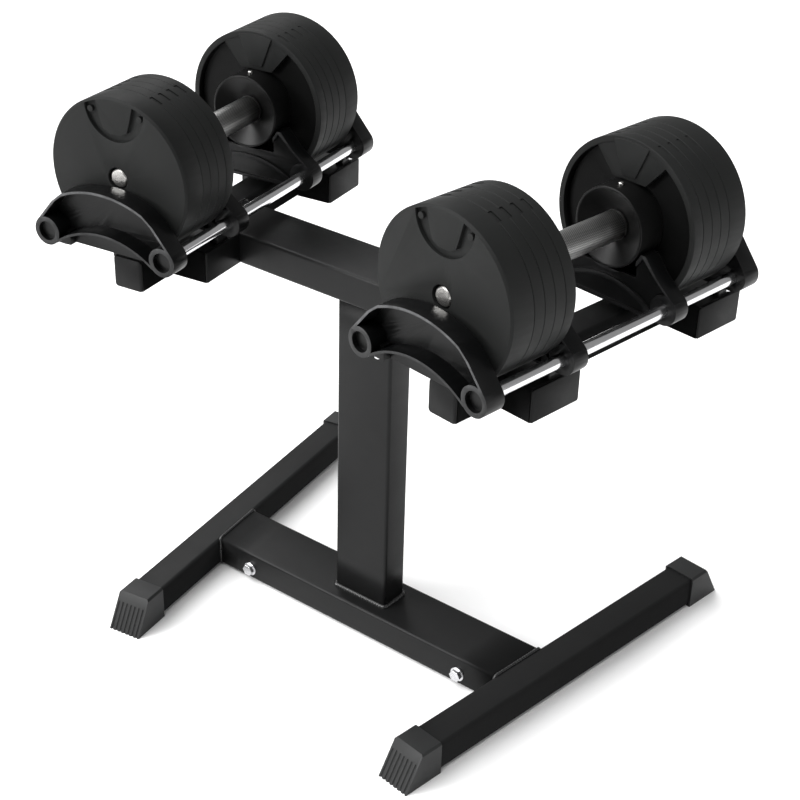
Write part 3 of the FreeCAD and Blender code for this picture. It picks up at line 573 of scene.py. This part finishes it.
def leaning_beam(name):
    """Cross beam: outline in Y and Z, ends at x = +-(offset - slim / 2cos) -+ y tan."""
    low, high = box_of(name)
    across, up = rounded_loop(high[1] - low[1], high[2] - low[2], ROLLED)
    reach = UNITS["right"].origin[0] - SLIM / 2 / math.cos(SPLAY)
    side = np.linspace(-1, 1, TUBE_RINGS)[:, None]
    along = side * (reach + across * math.tan(SPLAY))
    across, up, along = np.broadcast_arrays(across + middle_y, up + (low[2] + high[2]) / 2, along)
    return stand_for(mesh_object(name + "_rolled", np.stack((along, across, up), -1), capped=True), name)


def upright(name):
    """Post: outline in X and Y, drawn up between the two beams."""
    low, high = box_of(name)
    across, along = rounded_loop(*POST_SECTION, ROLLED)
    up = np.linspace(low[2], high[2], TUBE_RINGS)[:, None]
    parts = np.broadcast_arrays(across, along + middle_y, up)
    return stand_for(mesh_object(name + "_rolled", np.stack(parts, -1), capped=True), name)


def unit_tube(name, unit, node, wide, high, middle, start, stop, lengthwise, level, edge=0.0,
              corner=ROLLED):
    """Tube in a unit frame; it runs along the dumbbell, or across it when lengthwise is False."""
    first, up = rounded_loop(wide, high, corner)
    run = np.array((start, start + edge, stop - edge, stop))[:, None]
    inset = np.array((edge, 0, 0, edge))[:, None]
    first = middle + first * (1 - 2 * inset / wide)
    up = level - unit.origin[2] + up * (1 - 2 * inset / high)
    across, along = (first, run) if lengthwise else (run, first)
    points = unit.place(across, along, up)
    return stand_for(mesh_object(name, points, capped=True), node)


leaning_beam("base_beam")
leaning_beam("top_beam")
upright("upright_post")

BEAM_LEVEL = 0.485
STUB_REACH, STUB_WIDTH = 0.0655, 0.074
STUBS = {"near": -0.081, "far": 0.193}
RAIL_START, RAIL_STOP = -0.199, 0.313
TUBE_START = -0.174
PLUG, PLUG_INSET, PLUG_EDGE = 0.003, 0.0012, 0.0008
PAD_WIDTH, PAD_LENGTH, PAD_CORNER = 0.012, 0.021, 0.0015
PAD_SPREAD, PAD_STARTS = 0.0595, {"near": -0.091, "far": 0.192}
PAD_LEVELS = np.array((0.5045, 0.5183))[:, None]
for side, unit in UNITS.items():
    node = f"{side}_foot_rail"
    low, high = box_of(node)
    unit_tube(node + "_rolled", unit, node, SLIM, SLIM, 0.0, RAIL_START, RAIL_STOP, True,
              (low[2] + high[2]) / 2)
    node = f"{side}_carrier"
    unit_tube(node + "_tube", unit, node, SLIM, SLIM, 0.0, TUBE_START, STUBS["far"], True, BEAM_LEVEL)
    unit_tube(f"{side}_tube_plug", unit, "tube_plugs", SLIM - PLUG_INSET, SLIM - PLUG_INSET, 0.0,
              TUBE_START - PLUG, TUBE_START, True, BEAM_LEVEL, PLUG_EDGE)
    for end, middle in STUBS.items():
        unit_tube(f"{node}_{end}_stub", unit, node, STUB_WIDTH, SLIM, middle, -STUB_REACH, STUB_REACH,
                  False, BEAM_LEVEL, corner=CUT_CORNER)
        for way, word in WAYS.items():
            start, stop = sorted((way * STUB_REACH, way * (STUB_REACH + PLUG)))
            unit_tube(f"{side}_{end}_{word}_plug", unit, "tube_plugs", STUB_WIDTH - PLUG_INSET,
                      SLIM - PLUG_INSET, middle, start, stop, False, BEAM_LEVEL, PLUG_EDGE, CUT_CORNER)
    pad_across, pad_along = rounded_loop(PAD_WIDTH, PAD_LENGTH, PAD_CORNER)
    for end, start in PAD_STARTS.items():
        for way, word in WAYS.items():
            points = unit.place(pad_across + way * PAD_SPREAD, pad_along + start + PAD_LENGTH / 2,
                                PAD_LEVELS - unit.origin[2])
            stand_for(mesh_object(f"{node}_{end}_{word}_pad", points, capped=True), node)


# %% [markdown]
# ## Weld beads
#
# A bead is a thin rounded rope of metal laid round a joint. Its path is the outline of
# the tube, its section is a circle, and its radius swells a little at every puddle:
# r = r0 * (1 + 0.07 * sin(2 pi * distance / pitch)).

# %% Beads
PUDDLE_STEPS, PUDDLE_SWELL = 6, 0.07
BEAD_SINK = 0.0006
FOOT_BEAD, HEAD_BEAD, BEAM_BEAD = 0.0036, 0.0028, 0.0022


def bead(name, path, normal, radius, node, pitch=0.004):
    """Closed bead along a flat path; the section lies in the path's normal and its outward side."""
    step = np.linalg.norm(path - np.roll(path, 1, axis=0), axis=1)
    total = step.sum()
    spots = np.linspace(0, total, max(40, int(total / pitch * PUDDLE_STEPS)), endpoint=False)
    marks = np.concatenate((np.cumsum(step) - step[0], [total]))
    closed = np.concatenate((path, path[:1]))
    line = np.stack([np.interp(spots, marks, closed[:, axis]) for axis in range(3)], -1)
    ahead_of = np.roll(line, -2, axis=0) - np.roll(line, 2, axis=0)
    ahead_of /= np.linalg.norm(ahead_of, axis=1, keepdims=True)
    outward = np.cross(ahead_of, normal)
    swell = radius * (1 + PUDDLE_SWELL * np.sin(2 * math.pi * spots / pitch))[:, None, None]
    turn = np.linspace(0, 2 * math.pi, 12, endpoint=False)[None, :, None]
    points = line[:, None] + swell * (np.cos(turn) * np.array(normal) + np.sin(turn) * outward[:, None])
    return stand_for(mesh_object(name, points, closed_rows=True), node, weld_bead)


def post_path(level):
    """Outline of the post at one height."""
    across, along = rounded_loop(*POST_SECTION, ROLLED)
    return np.stack(np.broadcast_arrays(across, along + middle_y, level), -1)


post_low, post_high = box_of("upright_post")
bead("post_foot_bead", post_path(post_low[2] + BEAD_SINK), (0, 0, 1), FOOT_BEAD, "upright_post")
bead("post_head_bead", post_path(post_high[2] - BEAD_SINK), (0, 0, 1), HEAD_BEAD, "upright_post")
for name in ("base_beam", "top_beam"):
    low, high = box_of(name)
    across, up = rounded_loop(high[1] - low[1], high[2] - low[2], ROLLED)
    reach = UNITS["right"].origin[0] - SLIM / 2 / math.cos(SPLAY)
    for way, word in WAYS.items():
        path = np.stack((way * (reach + across * math.tan(SPLAY)), across + middle_y,
                         up + (low[2] + high[2]) / 2), -1)
        bead(f"{name}_{word}_bead", path, UNITS[word].across, BEAM_BEAD, name)

# %% [markdown]
# ## The knurled grips
#
# Knurling is two families of helical grooves that cross and leave small diamonds. The
# surface is a function of two parameters, the angle round the grip and the distance
# along it. Its height is the smaller of two triangle waves, one for each helix, so the
# diamonds come out as pyramids with flattened tips.

# %% Grip surface
AROUND, PITCH = 52, 0.002
KNURL_DEPTH, KNURL_FLAT, KNURL_FADE = 0.00028, 0.72, 0.0006
PLAIN_END, END_BEVEL = 0.0035, 0.0008
GRIP_COLUMNS, GRIP_ROWS = 4 * AROUND, 312


def triangle_wave(turns):
    """0 at whole numbers, 1 halfway between, straight lines between those."""
    return 1.0 - np.abs(2.0 * (turns % 1.0) - 1.0)


def knurled_grip(unit):
    """Sleeve whose radius is the grip's, less a crossed pattern of helical grooves."""
    low, high = (np.array(corner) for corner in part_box(f"{unit.side}_grip"))
    radius = (high[2] - low[2]) / 2
    vertices = frame["nodes"][f"{unit.side}_grip"].data.vertices
    corners = unit.measure(np.array([vertex.co for vertex in vertices]))
    half = np.abs(corners[:, 1]).max()
    bore = np.hypot(corners[:, 0], corners[:, 2]).min()
    angle = np.linspace(0, 2 * math.pi, GRIP_COLUMNS, endpoint=False)
    along = np.linspace(-half + END_BEVEL, half - END_BEVEL, GRIP_ROWS)
    turns, reach = np.meshgrid(angle / (2 * math.pi) * AROUND, along, indexing="xy")
    slope = reach / PITCH / 2
    height = np.minimum(triangle_wave(turns + slope), triangle_wave(turns - slope))
    height = np.minimum(height, KNURL_FLAT) / KNURL_FLAT
    inside = np.clip((half - PLAIN_END - np.abs(reach)) / KNURL_FADE, 0, 1)
    groove = (1 - height) * inside

    def plain_ring(place, ring_radius):
        return np.stack([np.full((1, GRIP_COLUMNS), number) for number in (place, ring_radius, 1.0)])

    rings = (plain_ring(-half, radius - END_BEVEL),
             np.stack((reach, radius - KNURL_DEPTH * groove, 1 - groove)),
             plain_ring(half, radius - END_BEVEL), plain_ring(half, bore), plain_ring(-half, bore))
    distance, size, value = np.concatenate(rings, 1)
    turn = np.broadcast_to(angle, distance.shape)
    points = unit.place(size * np.sin(turn), distance, size * np.cos(turn))
    piece = mesh_object(f"{unit.side}_knurled_grip", points, closed_rows=True,
                        attributes={"knurl": value})
    print(piece.name, len(piece.data.polygons), "faces")
    return piece


def knurled_steel():
    """Grip steel: dark in the grooves, worn bright on the diamonds' tips."""
    finish = Finish("knurled_steel", Metallic=1.0)
    height = finish.node("Attribute", {"attribute_name": "knurl"}, None, "Fac")
    cloud = finish.noise(70.0, 4.0)
    tone = finish.mix(height.ramp(0.1, 0.95) * (0.8 + 0.3 * cloud), (0.1, 0.1, 0.1), (0.5, 0.5, 0.49))
    gloss = 0.42 - 0.12 * height + 0.1 * (cloud - 0.5)
    return finish.feed(Base_Color=tone, Roughness=gloss).material


grip_steel = knurled_steel()
for side in SIDES:
    stand_for(knurled_grip(UNITS[side]), f"{side}_grip", grip_steel)

# %% [markdown]
# ## Floor, light and camera
#
# The stand is shown the way a catalogue shows it: on a plain, nearly white floor, with
# soft light. A wide sun from the front left keeps the floor white. Black parts are
# drawn by what they reflect, so a low panel in front on the left lights the near faces
# and the rims of the arches, one behind on the left draws the tops, and a weak one on
# the right keeps the sides from going flat.

# %% Stage
def floor_finish():
    finish = Finish("studio_floor", Specular_IOR_Level=0.2)
    tone = finish.mix(finish.noise(0.8, 2.0), (0.95, 0.95, 0.95), (0.97, 0.97, 0.97))
    gloss = 0.75 + 0.1 * finish.noise(3.0, 2.0)
    return finish.feed(Base_Color=tone, Roughness=gloss).material


FLOOR_HALF = 30.0
floor_mesh = bpy.data.meshes.new("floor")
floor_corners = [(-FLOOR_HALF, -FLOOR_HALF, 0), (FLOOR_HALF, -FLOOR_HALF, 0),
                 (FLOOR_HALF, FLOOR_HALF, 0), (-FLOOR_HALF, FLOOR_HALF, 0)]
floor_mesh.from_pydata(floor_corners, [], [(0, 1, 2, 3)])
floor = new_object("floor", floor_mesh)
dress(floor, floor_finish())


def soft_light(name, place, aim, size, power):
    """Square panel light at `place`, facing `aim`."""
    light = bpy.data.lights.new(name, "AREA")
    light.shape = "SQUARE"
    light.size = size
    light.energy = power
    lamp = new_object(name, light)
    lamp.location = place
    lamp.rotation_euler = (Vector(aim) - Vector(place)).to_track_quat("-Z", "Y").to_euler()


SUN_AIM = Vector((0.42, 0.35, -0.84))
sun_light = bpy.data.lights.new("soft_sun", "SUN")
sun_light.energy = 4.6
sun_light.angle = math.radians(75)
sun = new_object("soft_sun", sun_light)
sun.rotation_euler = SUN_AIM.to_track_quat("-Z", "Y").to_euler()

MIDDLE = Vector((0.0, 0.0, 0.45))
soft_light("back_left", (-2.2, 1.6, 2.6), MIDDLE, 1.2, 20.0)
soft_light("right", (2.6, 0.2, 1.2), MIDDLE, 1.4, 7.0)
soft_light("front_left", (-1.6, -2.3, 1.4), MIDDLE, 0.8, 45.0)

world = bpy.data.worlds.new("studio")
world.use_nodes = True
backdrop = world.node_tree.nodes["Background"]
backdrop.inputs["Color"].default_value = (1.0, 1.0, 1.0, 1.0)
# The backdrop is white to look at, but lights the scene with less than a third of that.
seen = world.node_tree.nodes.new("ShaderNodeLightPath").outputs["Is Camera Ray"]
strength = world.node_tree.nodes.new("ShaderNodeMapRange")
strength.inputs["To Min"].default_value = 0.3
strength.inputs["To Max"].default_value = 1.0
world.node_tree.links.new(seen, strength.inputs["Value"])
world.node_tree.links.new(strength.outputs["Result"], backdrop.inputs["Strength"])
bpy.context.scene.world = world
bpy.context.scene.view_settings.view_transform = "Standard"

# %% Camera
AZIMUTH, ELEVATION, ROLL = (math.radians(angle) for angle in (36.86, 30.34, 1.69))
CAMERA_PLACE = (1.0491, -1.4023, 1.3237)
IMAGE_SIDE = 800
FOCAL_PIXELS = 1648.4
camera_data = bpy.data.cameras.new("camera")
camera_data.sensor_width = 36.0
camera_data.lens = camera_data.sensor_width * FOCAL_PIXELS / IMAGE_SIDE
camera = new_object("camera", camera_data)
ahead = Vector((-math.sin(AZIMUTH) * math.cos(ELEVATION), math.cos(AZIMUTH) * math.cos(ELEVATION),
                -math.sin(ELEVATION)))
level = Vector((math.cos(AZIMUTH), math.sin(AZIMUTH), 0.0))
above = level.cross(ahead)
right = level * math.cos(ROLL) + above * math.sin(ROLL)
top = above * math.cos(ROLL) - level * math.sin(ROLL)
turn = Matrix((right, top, -ahead)).transposed().to_4x4()
camera.matrix_world = Matrix.Translation(CAMERA_PLACE) @ turn
bpy.context.scene.camera = camera
